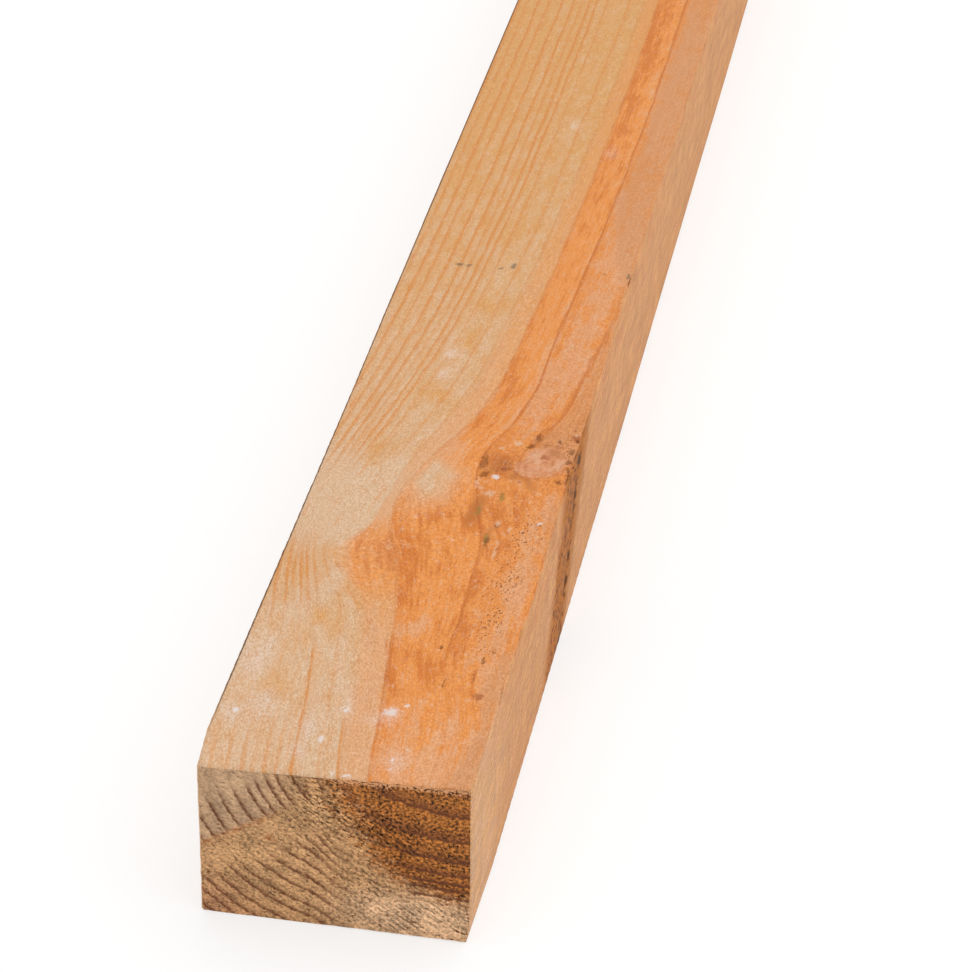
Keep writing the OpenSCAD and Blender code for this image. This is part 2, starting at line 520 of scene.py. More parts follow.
def wood_fields(points, normals, is_end, shape):
    """Smooth fields of the wood at each point, by name, for the relief and the materials."""
    x, y, z = points.T
    grain = grain_place(points, shape)
    ring, angle = ring_count(grain)
    top = smooth_step(0.5, 0.9, normals[:, 2])
    right = smooth_step(0.5, 0.9, normals[:, 0])
    loose_x = x + 2.4 * rough(points, (6, 16, 6), 21)
    loose_y = y + 8.0 * rough(points, (6, 16, 6), 22)
    soft = {name: patches(loose_x, loose_y, ovals) * top for name, ovals in SOFT_OVALS.items()}
    tone = 1.25 * soft.pop("peach") - 1.1 * soft.pop("deep")
    drop = (top_height(shape, x) - z) * right
    pink = np.clip(x + 2.0 * drop - flowing(y, PINK_STATIONS, PINK_PLACES), OUTSIDE, -OUTSIDE)
    end_shown = end_lines(x, z) * smooth_step(1.1, 1.6, ring)
    face_shown = ring_show(y, ring, top) * (1.0 - 0.85 * soft["pale"])
    left_arris = smooth_step(0.1, 0.4, -normals[:, 0]) * smooth_step(0.1, 0.4, normals[:, 2])
    lip = smooth_step(3.4, 0.6, top_height(shape, x) - z) * smooth_step(33, 40, x)
    return {
        **soft,
        "wood": points,
        "grain": grain,
        "polar": np.stack([30.0 * angle, y, PITH_Z - z + 0.7 * np.maximum(PITH_X - x, 0.0)], -1),
        "ring": ring,
        "pace": ring_pace(points, normals, is_end, ring, shape),
        "line": np.where(is_end, end_shown, face_shown),
        "straw": flowing(y, STRAW_STATIONS, STRAW_SHARES),
        "between": 0.42 + 0.45 * plateau(82, 96, 118, 132, y),
        "tone": tone,
        "pink": np.where(top + right > 0.5, pink, OUTSIDE),
        "top": top,
        "right": right,
        "hollow": trough_hollow(points, shape) * right,
        "crevice": np.where(right > 0.5, y - CREVICE_FOOT - CREVICE_LEAN * z, FAR_OFF),
        "rim": left_arris * smooth_step(10, 40, y),
        "end_heart": 3.4 + 4.6 * np.exp(-((angle / 0.35) ** 2)) - ring,
        "pulled": end_torn(x, z),
        "grey_block": smooth_step(22, 24, across_stroke(x, z)) * (1.0 - smooth_step(14, 32, x)),
        "end_mark": end_marks(x, z),
        "lip": lip * is_end,
        "red_corner": smooth_step(0.0, 1.0, 1.0 - np.hypot(x / 26, z / 20)),
        "pale_corner": smooth_step(0.0, 0.8, 1.0 - np.hypot((x - 60) / 34, (z - 6) / 13)),
    }


def end_lines(x, z):
    """How plainly rings show on an end: in bands along the saw's stroke, and always on the pith's side."""
    stroke = across_stroke(x, z)
    crisp = plateau(22.0, 23.5, 33, 39, stroke)
    lower = 1.0 - smooth_step(8, 13, stroke)
    near_pith = smooth_step(50, 62, x) * smooth_step(11, 14, z)
    plain = np.maximum(crisp, 0.95 * lower) * (1.0 - 0.9 * smooth_step(32, 46, x))
    heart = smooth_step(-4.0, 4.0, z - 50.0 + 0.75 * (x - 36.0))
    return np.maximum(np.maximum(plain, 0.75 * heart), np.maximum(near_pith, 0.15))


def end_torn(x, z):
    """Share of pulled-out fibre on an end: a slanting band from the middle of the top to the right side."""
    across_band = (z - 36.0 + 0.42 * (x - 42.0)) / 10.0
    band = np.exp(-(across_band ** 2)) * plateau(22, 32, 56, 66, x)
    low = 0.45 * smooth_step(34, 46, x) * (1.0 - smooth_step(16, 26, z))
    return np.maximum(np.maximum(band, low), 0.12)


def end_marks(x, z):
    """Dark marks on an end: the edge of the saw's step at the left, and a small knot beside it."""
    across_edge = (across_stroke(x, z) - 22.4) / 0.9
    edge = 0.7 * np.exp(-(across_edge ** 2)) * (1.0 - smooth_step(14, 26, x))
    knot = np.exp(-1.5 * (((x - 19.6) / 1.9) ** 2 + ((z - 26.7) / 1.3) ** 2))
    return np.maximum(edge, knot)


def late_wood(ring, pace):
    """Share of late wood: rises over a year's last millimetre and drops at once at the next ring."""
    gap = (1.0 - ring + np.floor(ring)) / pace
    return smooth_step(1.3, 0.2, gap)


def face_relief(points, fields):
    """Height in mm of the long faces above their flat, by adding rough() fields of different grain.

    Shallow saw waves and ridges of fibre, cut deeper where torn: in specks and dark marks on the top,
    along the crevice and its band on the right side, and at the lip over the near end.
    """
    x, y, z = points.T
    grain = fields["grain"]
    late = late_wood(fields["ring"], fields["pace"])
    near = 1.0 - smooth_step(200, 420, y)
    waves = np.sin(2.0 * math.pi * (y + 0.12 * (x + z)) / 5.3 + 2.0 * rough(points, (30, 40, 30), 3))
    sawn = 0.04 * waves * near + 0.14 * rough(points, (22, 90, 22), 4)
    fibre = 0.07 * rough(grain, (1.8, 14, 1.8), 5) * (0.4 + 0.6 * near) + 0.05 * (late - 0.3)
    tears = 0.18 * rough(grain, (2.2, 5, 2.2), 6) - 0.1 + 0.15 * rough(points, 2.4, 7)
    seam = -0.9 * smooth_step(0.2, 0.8, patches(x, y, DARK_OVALS))
    across = fields["crevice"] + 2.5 * rough(points, (4, 4, 3.2), 13)
    crack = -0.6 * plateau(-0.5, 1.5, 3, 6, across) * plateau(2, 9, 34, 44, z)
    band = plateau(-36, -20, 4, 9, across) * (0.5 * rough(points, (2.4, 5, 2.6), 14) - 0.1)
    lip = (1.0 - smooth_step(0.0, 1.6, y)) * (0.4 * rough(points, (1.5, 3, 1.5), 16) - 0.1)
    side = (crack + band * smooth_step(1, 12, z)) * fields["right"]
    return sawn + fibre + fields["speck"] * tears + (seam + lip) * fields["top"] + side


def end_relief(points, fields, shape):
    """Height in mm of the ends above their flat, by adding rough() fields of different grain.

    Ridges of late wood, slanting saw strokes, the saw's step and pits where fibres were pulled out;
    all run out at the rim and at the bruised corner.
    """
    x, _, z = points.T
    late = late_wood(fields["ring"], fields["pace"])
    stroke = across_stroke(x, z)
    strokes = 0.05 * rough(np.stack([stroke, x + SAW_SLANT * z, 0 * x], -1), (0.9, 30, 1), 8)
    step = 0.18 * (smooth_step(22.3, 23.2, stroke) * (1.0 - smooth_step(16, 24, x)) - 0.5)
    pits = smooth_step(0.1, 0.5, rough(fields["polar"], (2.2, 9, 1.0), 9)) * (0.2 + 0.8 * fields["pulled"])
    bumps = 0.1 * rough(points, (1.6, 9, 1.2), 15) + 0.1 * rough(points, (6, 9, 6), 10)
    edge = np.minimum(np.minimum(x, shape.width / MM - x), np.minimum(z, top_height(shape, x) - z))
    edge = np.minimum(edge, bruise_distance(points, shape)[0])
    return (strokes + step - 0.6 * pits + bumps + 0.05 * (late - 0.5)) * smooth_step(0.5, 2.0, edge)


def bruise_distance(points, shape):
    """Distance in mm inside the plane of the knocked-off corner, and that plane's direction inwards."""
    slope = np.array([-MM / shape.bruise_width, MM / shape.bruise_length, MM / shape.bruise_height])
    steepness = np.linalg.norm(slope)
    corner = np.array([shape.width / MM, 0.0, 0.0])
    return ((points - corner) @ slope - 1.0) / steepness, slope / steepness


# Height in mm at which the underside's high spots are pressed flat, just clear of the floor
UNDERSIDE_LIFT = 0.05


def knocked(points, shape):
    """Moves points off the bruised corner onto its plane, the left side in at the near end,
    and the underside's high spots up off the floor.
    """
    distance, inward = bruise_distance(points, shape)
    points = points + np.maximum(-distance, 0.0)[:, None] * inward
    run_in = shape.run_in_depth / MM * np.clip(1.0 - points[:, 1] * MM / shape.run_in_length, 0.0, 1.0)
    points[:, 0] += run_in * (1.0 - points[:, 0] * MM / shape.width)
    points[:, 2] = np.maximum(points[:, 2], UNDERSIDE_LIFT)
    return points


# Small marks on the top in mm: middle across, middle along, half width, half length
KNOT_OVALS = ((66.0, 166.0, 7.6, 10.0), (63.5, 163.0, 6.2, 7.0))
DARK_OVALS = ((48.2, 163.5, 1.3, 4.8), (49.4, 157, 1.5, 2.4), (67.2, 59.3, 0.6, 1.8), (58.4, 47, 0.4, 2.4),
              (69, 64.5, 0.55, 1.1), (54.3, 64, 0.7, 0.8), (62.3, 180, 1.1, 2.4), (60.4, 174.6, 1.4, 1.2),
              (57, 119.5, 0.7, 3.5), (75, 283, 0.8, 4.5), (58.3, 128.5, 0.6, 1.2), (75.5, 172, 0.9, 8),
              (74.6, 158, 0.7, 5), (60.6, 153.6, 0.6, 0.6), (73.3, 173, 0.9, 1.6), (73.2, 167, 0.7, 1.8),
              (74.2, 162, 0.8, 2.2), (72.2, 155.2, 1.0, 1.2), (68.8, 178, 0.8, 1.0), (74, 179.5, 0.7, 1.2))
RED_OVALS = ((65.8, 168.5, 2.0, 1.7), (66, 51, 0.6, 3.5), (73.5, 181, 2.2, 2.4), (69, 42, 1.4, 2.2),
             (55.5, 160.5, 2.4, 1.4))
OLIVE_OVALS = ((57, 144.5, 1.3, 3.2), (51.6, 136.5, 0.8, 3.5), (56.6, 121, 0.9, 3.2))
CHALK_OVALS = ((47, 31.4, 2.8, 3.0), (50.7, 35, 0.8, 0.9), (35.2, 31, 0.9, 1.9), (5.5, 26.4, 1.1, 1.4),
               (31.1, 16.4, 1.0, 2.4), (40.7, 1.4, 1.5, 1.0), (36.9, 1.8, 0.8, 1.0), (51.6, 10, 0.8, 1.6),
               (54.8, 15, 0.9, 0.7), (51.6, 6, 0.7, 1.0), (53.3, 155.8, 1.5, 1.6), (70.5, 131.5, 0.8, 0.9))
FLECK_OVALS = ((56.7, 175.5, 1.8, 1.7), (52, 172.5, 1.2, 1.2), (48.4, 152, 0.7, 3.6), (53.2, 146, 2.2, 2.2),
               (58.5, 130, 1.2, 1.8), (60.3, 115, 0.5, 5.0), (62.5, 126.5, 0.5, 2.8),
               (26.8, 174.5, 0.8, 1.6), (25.8, 171, 0.7, 1.3), (38, 394, 1.2, 2.6), (25.5, 227, 1.6, 2.4),
               (26.2, 215, 1.2, 2.0), (73.2, 182.5, 0.8, 1.0), (50, 149, 0.8, 1.4))
MOULD_OVALS = ((17.5, 286.3, 1.6, 1.0), (21, 286, 1.3, 1.1), (31.7, 285.5, 1.1, 1.0),
               (35.5, 287.5, 1.0, 2.2), (65.5, 286.5, 0.6, 0.8), (73.6, 286, 0.7, 2.4))


def arris_wear(points, normals):
    """Small nicks along the long arrises, in mm: rough() heights where a normal lies between two faces."""
    corner = 4.0 * (normals[:, 0] * normals[:, 2]) ** 2
    nicks = rough(points, (3, 5, 3), 11) + 0.4 * rough(points, (3, 17, 3), 12)
    return -corner * (0.25 + 0.35 * np.clip(nicks, 0, 1))


def new_mesh(name, points, quads, triangles):
    """A mesh from points in metres, with its quads and triangles put in as whole arrays."""
    mesh = bpy.data.meshes.new(name)
    corners = np.concatenate([quads.ravel(), triangles.ravel()]).astype(np.int32)
    counts = np.concatenate([np.full(len(quads), 4), np.full(len(triangles), 3)]).astype(np.int32)
    starts = np.concatenate([[0], np.cumsum(counts)[:-1]]).astype(np.int32)
    mesh.vertices.add(len(points))
    mesh.vertices.foreach_set("co", points.astype(np.float32).ravel())
    mesh.loops.add(len(corners))
    mesh.loops.foreach_set("vertex_index", corners)
    mesh.polygons.add(len(counts))
    mesh.polygons.foreach_set("loop_start", starts)
    mesh.polygons.foreach_set("loop_total", counts)
    mesh.update(calc_edges=True)
    mesh.validate()
    mesh.shade_smooth()
    return mesh


def to_metres(points, shape):
    """From wood mm to the row frame: the origin is the centre of the underside."""
    return points * MM - np.array([shape.width / 2, shape.length / 2, 0.0])


class Wire:
    """An output socket to reckon with: each sign or method adds a node to its tree and gives a new wire."""

    def __init__(self, bench, socket):
        self.bench = bench
        self.socket = socket

    def __add__(self, other):
        return self.bench.math("ADD", self, other)

    def __sub__(self, other):
        return self.bench.math("SUBTRACT", self, other)

    def __rsub__(self, other):
        return self.bench.math("SUBTRACT", other, self)

    def __mul__(self, other):
        return self.bench.math("MULTIPLY", self, other)

    def __truediv__(self, other):
        return self.bench.math("DIVIDE", self, other)

    def __abs__(self):
        return self.bench.math("ABSOLUTE", self)

    def fraction(self):
        return self.bench.math("FRACT", self)

    def clamped(self):
        """The same wire, held between 0 and 1 by the Math node that it comes from."""
        self.socket.node.use_clamp = True
        return self

    def ramp(self, low, high, start=0.0, end=1.0):
        """start up to low, end from high, and a smooth S between them; low may lie above high."""
        inputs = {"Value": self, "From Min": low, "From Max": high, "To Min": start, "To Max": end}
        return self.bench.add("ShaderNodeMapRange", inputs, interpolation_type="SMOOTHSTEP")


class Bench:
    """Adds and joins the nodes of one tree, with the tints of a finish at hand."""

    def __init__(self, tree, finish=None):
        self.tree = tree
        self.finish = finish
        self.fields = {}

    def join(self, value, socket):
        """Links a wire to an input socket, or sets a plain value on it."""
        if isinstance(value, Wire):
            self.tree.links.new(value.socket, socket)
        else:
            socket.default_value = value

    def node(self, kind, inputs, **settings):
        node = self.tree.nodes.new(kind)
        for name, value in settings.items():
            setattr(node, name, value)
        for name, value in inputs.items():
            self.join(value, node.inputs[name])
        return node

    def add(self, kind, inputs, output=0, **settings):
        return Wire(self, self.node(kind, inputs, **settings).outputs[output])

    def place(self, group, inputs):
        """Places a node group in the tree and returns its output wires by name."""
        node = self.node("ShaderNodeGroup", inputs, node_tree=group)
        return {socket.name: Wire(self, socket) for socket in node.outputs}

    def math(self, operation, first, second=0.0):
        return self.add("ShaderNodeMath", {0: first, 1: second}, operation=operation)

    def highest(self, first, second):
        return self.math("MAXIMUM", first, second)

    def vector(self, operation, first, second, output="Vector"):
        return self.add("ShaderNodeVectorMath", {0: first, 1: second}, output, operation=operation)

    def axis(self, vector, letter):
        return self.add("ShaderNodeSeparateXYZ", {0: vector}, letter)

    def noise(self, vector, scale, detail=2.0, roughness=0.55):
        """Noise from 0 to 1 at a place in mm, with its own scale per axis."""
        stretched = self.vector("MULTIPLY", vector, scale)
        inputs = {"Vector": stretched, "Scale": 1.0, "Detail": detail, "Roughness": roughness}
        return self.add("ShaderNodeTexNoise", inputs)

    def field(self, name, output="Fac"):
        """A field of the wood, read from the mesh's attribute of that name once for each tree."""
        if name not in self.fields:
            self.fields[name] = self.add("ShaderNodeAttribute", {}, output, attribute_name=name)
        return self.fields[name]

    def tint(self, name):
        return colour(getattr(self.finish, name))

    def mix(self, share, first, second, blend="MIX"):
        inputs = {0: share, 6: first, 7: second}
        return self.add("ShaderNodeMix", inputs, 2, data_type="RGBA", blend_type=blend)

    def coat(self, below, share, tint):
        """Covers a colour with one of the finish's tints, by a share."""
        return self.mix(share, below, self.tint(tint))


def new_group(name, inputs, outputs):
    """An empty shader node group with named sockets; returns (group, its bench, its input wires)."""
    group = bpy.data.node_groups.new(name, "ShaderNodeTree")
    kinds = {"value": "NodeSocketFloat", "vector": "NodeSocketVector"}
    for socket, kind in inputs.items():
        group.interface.new_socket(socket, in_out="INPUT", socket_type=kinds[kind])
    for socket in outputs:
        group.interface.new_socket(socket, in_out="OUTPUT", socket_type=kinds["value"])
    entry = group.nodes.new("NodeGroupInput")
    bench = Bench(group)
    return group, bench, {socket: Wire(bench, entry.outputs[socket]) for socket in inputs}


def close_group(bench, outputs):
    """Joins wires to a group's outputs by name."""
    leave = bench.tree.nodes.new("NodeGroupOutput")
    for name, wire in outputs.items():
        bench.join(wire, leave.inputs[name])


# Part of a late-wood line's width that lies past the end of its year
LINE_PAST = 0.33


def growth_ring_group():
    """Thin late-wood lines and soft bands from the rings, and streaks, mottle and fibre from the grain."""
    group, bench, entry = new_group(
        "growth_rings", {"Line Width": "value"},
        ("Ring", "Late", "Band", "Streak", "Fine", "Mottle", "Hue"),
    )
    grain = bench.field("grain", "Vector")
    pace = bench.field("pace")
    width = entry["Line Width"]
    waver = bench.noise(grain, (0.6, 0.05, 0.6), 3.0) - 0.5
    ring = bench.field("ring") + waver * 1.6 * pace
    part = ring.fraction()
    gap = (1.0 - part) / pace
    past = part / pace
    close_group(bench, {
        "Ring": ring,
        "Late": bench.highest(gap.ramp(0.0, width, 1.0, 0.0), past.ramp(0.0, width * LINE_PAST, 1.0, 0.0)),
        "Band": part.ramp(0.35, 1.0),
        "Streak": bench.noise(grain, (1.3, 0.05, 1.3), 4.0, 0.6),
        "Fine": bench.noise(grain, (2.1, 1.0, 2.1), 3.0, 0.75),
        "Hue": bench.noise(grain, (0.9, 0.33, 0.9), 3.0, 0.7),
        "Mottle": bench.noise(grain, (0.3, 0.09, 0.3), 4.0, 0.62),
    })
    return group


def torn_fibre_group():
    """Pits of torn fibre, a noise cut off at a level, and its rise from side to side as painted light and
    shade.
    """
    group, bench, entry = new_group(
        "torn_fibre", {"Place": "vector", "Scale": "vector", "Shift": "vector", "Amount": "value"},
        ("Pit", "Shade"),
    )
    here = bench.noise(entry["Place"], entry["Scale"], 3.0, 0.6)
    there = bench.noise(bench.vector("ADD", entry["Place"], entry["Shift"]), entry["Scale"], 3.0, 0.6)
    level = 0.74 - entry["Amount"] * 0.2
    close_group(bench, {"Pit": (here - level).ramp(0.0, 0.06), "Shade": there - here})
    return group


def torn(bench, torn_fibre, place, scale, shift, amount):
    """Places torn fibre and returns its pits and its painted light and shade."""
    fibre = bench.place(torn_fibre, {"Place": place, "Scale": scale, "Shift": shift, "Amount": amount})
    return fibre["Pit"], fibre["Shade"]


# Reach, in half sizes of an oval, past which no place is followed
FAR_REACH = 9.0


def oval_depth(bench, place, ovals):
    """How deep a place in mm lies in the deepest of some ovals: 1 in the middle, 0 on the rim or less."""
    nearest = FAR_REACH
    for oval_x, oval_y, half_width, half_length in ovals:
        offset = bench.vector("SUBTRACT", place, (oval_x, oval_y, 0.0))
        scaled = bench.vector("MULTIPLY", offset, (1.0 / half_width, 1.0 / half_length, 0.0))
        reach = bench.add("ShaderNodeVectorMath", {0: scaled}, "Value", operation="LENGTH")
        nearest = bench.math("MINIMUM", reach, nearest)
    return 1.0 - nearest


# Mirror reflection of raw wood, as the shader's level
WOOD_SHEEN = 0.25


def new_material(name, finish):
    """A material with an empty tree; returns (material, bench, its Principled shader)."""
    material = bpy.data.materials.new(name)
    material.use_nodes = True
    shader = material.node_tree.nodes["Principled BSDF"]
    shader.inputs["Specular IOR Level"].default_value = WOOD_SHEEN
    return material, Bench(material.node_tree, finish), shader


def finish_surface(bench, shader, base, roughness, height, strength, distance):
    """Joins colour, roughness and bump to a material's shader."""
    bump = bench.add("ShaderNodeBump", {"Height": height, "Strength": strength, "Distance": distance})
    bench.join(base, shader.inputs["Base Color"])
    bench.join(roughness, shader.inputs["Roughness"])
    bench.join(bump, shader.inputs["Normal"])


def face_wires(bench, rings):
    """Wires that several coats of the long faces share: places, masks, and noises about zero."""
    wood = bench.place(rings, {"Line Width": 1.5})
    place = bench.field("wood", "Vector")
    shown = bench.field("line")
    warp = bench.add("ShaderNodeTexNoise", {"Vector": place, "Scale": 0.7, "Detail": 3.0}, "Color")
    warp = bench.vector("SUBTRACT", warp, (0.5, 0.5, 0.5))
    return SimpleNamespace(
        ring=wood["Ring"],
        streak=wood["Streak"],
        fine=wood["Fine"],
        hue=wood["Hue"],
        patchy=wood["Mottle"] - 0.5,
        streaky=wood["Streak"] - 0.5,
        speckle=bench.noise(place, (1.2, 1.0, 1.2), 4.0, 0.7) - 0.5,
        line=bench.highest((wood["Late"] * shown * 1.1).clamped(), wood["Band"] * shown * 0.3),
        place=place,
        loose=bench.vector("ADD", bench.vector("MULTIPLY", warp, (2.6, 2.6, 2.6)), place),
        along=bench.axis(place, "Y"),
        up=bench.axis(place, "Z"),
        top=bench.field("top"),
        side=bench.field("right"),
    )


def sap_and_heart(bench, face):
    """Cream to straw sapwood, and peach to deep orange heartwood inside ring 3, each with its lines."""
    yellow = bench.field("straw") + face.patchy * 1.7 + bench.field("honey") * 0.6
    sap = bench.coat(bench.tint("cream"), (yellow - bench.field("pale")).clamped(), "straw")
    warm = face.streaky.ramp(-0.02, 0.2) * face.patchy.ramp(-0.1, 0.18, 0.05, 0.75)
    sap = bench.coat(sap, bench.highest(face.line * 0.9, warm), "sap_line")
    tone = bench.field("tone") + face.patchy * 4.5 + face.streaky * 3.0
    heart = bench.coat(bench.tint("orange"), tone.ramp(0.05, 1.2), "peach")
    heart = bench.coat(heart, tone.ramp(-0.05, -1.2), "deep_orange")
    heart = bench.coat(heart, face.line, "heart_line")
    frayed = face.ring + (face.patchy + face.streaky) * 0.35
    middle = frayed.ramp(3.04, 2.6) * bench.field("between")
    tongue = (bench.field("tongue") * 1.25).clamped()
    heart_share = bench.highest(middle, frayed.ramp(2.2, 1.86)) * (1.0 - tongue)
    base = bench.mix(heart_share, sap, heart)
    base = bench.coat(base, face.hue.ramp(0.53, 0.74, 0.0, 0.45), "fleck")
    return bench.coat(base, face.hue.ramp(0.47, 0.28, 0.0, 0.4), "sap_line")


def pink_and_side(bench, face, base):
    """Pinkish wood near the pith and a line along it, and the right side's dust, gold and saw lines."""
    pink = bench.field("pink") + (face.patchy + face.streaky) * 3.0
    edge_line = abs(pink).ramp(1.1, 0.2) * (face.along.ramp(172.0, 182.0) * face.along.ramp(290.0, 240.0))
    for share, tint in (
        (pink.ramp(-1.5, 3.0) * (face.side * 0.3 + 0.55), "blush"),
        (edge_line * 0.6, "heart_line"),
        (face.along.ramp(70.0, 0.0, 0.0, 0.45) * face.side, "cream"),
        (face.patchy.ramp(-0.1, 0.15, 0.0, 0.6) * face.side, "straw"),
    ):
        base = bench.coat(base, share, tint)
    saw_lines = bench.noise(face.place, (0.02, 0.4, 0.06), 3.0, 0.6)
    shade = face.streak.ramp(0.3, 0.7, 0.84, 1.14) * saw_lines.ramp(0.3, 0.7, 0.93, 1.06)
    return bench.mix(face.side, base, bench.mix(1.0, base, shade, "MULTIPLY"))


def knot_and_rim(bench, face, base):
    """The brown rim and the pink knot with veins and a red hem; returns the colour and the knot's share."""
    brown = (bench.field("brown") + face.patchy * 1.2).ramp(0.2, 0.9, 0.0, 0.75)
    base = bench.coat(base, brown * face.fine.ramp(0.38, 0.6, 0.15, 1.0) * face.top, "knot_rim")
    depth = oval_depth(bench, face.loose, KNOT_OVALS)
    ragged = depth + face.speckle * 0.7
    knot = ragged.ramp(-0.05, 0.28) * face.top
    tone = bench.noise(face.place, (0.25, 0.16, 0.25), 3.0, 0.6)
    wood = bench.coat(bench.tint("knot"), tone.ramp(0.48, 0.66, 0.0, 0.38), "fleck")
    wood = bench.coat(wood, tone.ramp(0.52, 0.36, 0.0, 0.6), "mauve")
    veins = (depth * 3.0).fraction().ramp(0.4, 1.0, 0.0, 0.4) * face.hue.ramp(0.45, 0.6)
    wood = bench.coat(wood, veins, "red_knot")
    base = bench.mix(knot * 0.92, base, wood)
    hem = abs(ragged).ramp(0.2, 0.02) * face.hue.ramp(0.42, 0.6)
    return bench.coat(base, hem * face.top * 0.55, "red_knot"), knot


def mark_share(bench, face, ovals, fray=2.8, rim=0.45):
    """Share of a small mark: frayed by speckle, 0 on the rim of its ovals and full a little inside."""
    return (oval_depth(bench, face.loose, ovals) + face.speckle * fray).ramp(0.0, rim) * face.top


# What the fibre's dark and pale threads do to the colour below them
DARK_THREAD, PALE_THREAD = (0.82, 0.69, 0.54, 1.0), (1.15, 1.21, 1.31, 1.0)


def sawn_face_material(finish, rings, torn_fibre):
    """Long faces: cream sapwood with thin rings, orange heartwood, a pink knot, torn pits and dry marks;
    pits, cracks and the trough carry painted shade, torn specks a painted highlight.
    """
    material, bench, shader = new_material("sawn_faces", finish)
    face = face_wires(bench, rings)
    base = pink_and_side(bench, face, sap_and_heart(bench, face))
    base, knot = knot_and_rim(bench, face, base)
    threads = (face.fine.ramp(0.28, 0.72) + face.streaky * 0.5).clamped()
    thread_share = face.along.ramp(140.0, 360.0, 1.0, 0.65) - knot * 0.5
    base = bench.mix(thread_share, base, bench.mix(threads, DARK_THREAD, PALE_THREAD), "MULTIPLY")

    area = bench.field("speck")
    pit, shade = torn(bench, torn_fibre, face.place, (1.45, 0.75, 1.45), (0.35, -0.6, 0.0), area * 0.86)
    specks = pit * area.ramp(0.05, 0.5, 0.0, 0.85)
    tear = bench.noise(face.place, (0.4, 0.12, 0.4), 4.0, 0.65) - 0.5
    crevice = bench.field("crevice") + tear * 14.0
    beyond = crevice - face.up * CREVICE_SPREAD
    band = crevice.ramp(-38.0, -20.0) * beyond.ramp(7.0, 2.0) * face.side
    lengths = bench.noise(face.place, (0.16, 0.03, 0.16)).ramp(0.44, 0.58)
    crack = crevice.ramp(-4.0, -0.5) * beyond.ramp(4.5, 1.5) * lengths * band
    flank_tone_and_shade = beyond.ramp(0.5, 3.0) * beyond.ramp(14.0, 7.0, 0.0, 0.6) * face.side
    coarse_pit, coarse_shade = torn(bench, torn_fibre, face.place, (0.4, 0.27, 0.34), (0.0, 1.2, 0.8), band)
    fine_pit, _ = torn(bench, torn_fibre, face.place, (0.9, 0.55, 0.8), (0.0, 0.6, 0.4), band)
    dark = mark_share(bench, face, DARK_OVALS)
    haze = bench.field("haze") * face.fine.ramp(0.4, 0.7, 0.1, 0.55)
    chalk = mark_share(bench, face, CHALK_OVALS, fray=1.8, rim=0.7)
    hatch = bench.noise(face.place, (1.0, 1.6, 1.0)).ramp(0.3, 0.55, 0.45, 1.0)
    for share, tint in (
        # Painted highlight: cream where the torn fibre's rise would catch the light beside each speck
        (shade.ramp(0.08, 0.18, 0.0, 0.3) * area, "fleck"),
        # Torn specks: dark brown, partly a painted shade in their hollows
        (specks, "speck"),
        # Band past the crevice: partly the wood's mauve, partly a painted shade of the trough's far flank
        (flank_tone_and_shade, "mauve"),
        (band * 0.96, "torn"),
        # Painted shade: the torn band darkened on the shaded side of its coarse pits
        (band * coarse_shade.ramp(0.0, -0.08, 0.0, 0.7), "knot_rim"),
        (mark_share(bench, face, RED_OVALS) * 0.7, "red_knot"),
        (mark_share(bench, face, OLIVE_OVALS) * 0.75, "olive"),
        # Dark marks and the trough's pits: partly their brown, partly a painted shade in their hollows
        (dark * 0.62, "speck"),
        (bench.highest(coarse_pit, fine_pit) * band * 0.9, "speck"),
        # Painted shade: the crack along the crevice near black
        (crack * 0.9, "pit"),
        (mark_share(bench, face, MOULD_OVALS) * 0.7, "mould"),
        (mark_share(bench, face, FLECK_OVALS, rim=0.6) * 0.5, "fleck"),
        (bench.highest(haze, chalk * 0.8), "chalk"),
        # A dark hatched line along the left arris, fading out over the last 40 mm at the near end, in the
        # colour of the pits
        (bench.field("rim") * hatch, "pit"),
    ):
        base = bench.coat(base, share, tint)

    hollows = bench.highest(bench.highest(dark, crack), specks)
    bumps = face.fine * 0.6 + face.streak * 0.6 - hollows * 1.4
    finish_surface(bench, shader, base, face.fine.ramp(0.2, 0.8, 0.62, 0.85), bumps, 0.5, 0.0003)
    return material


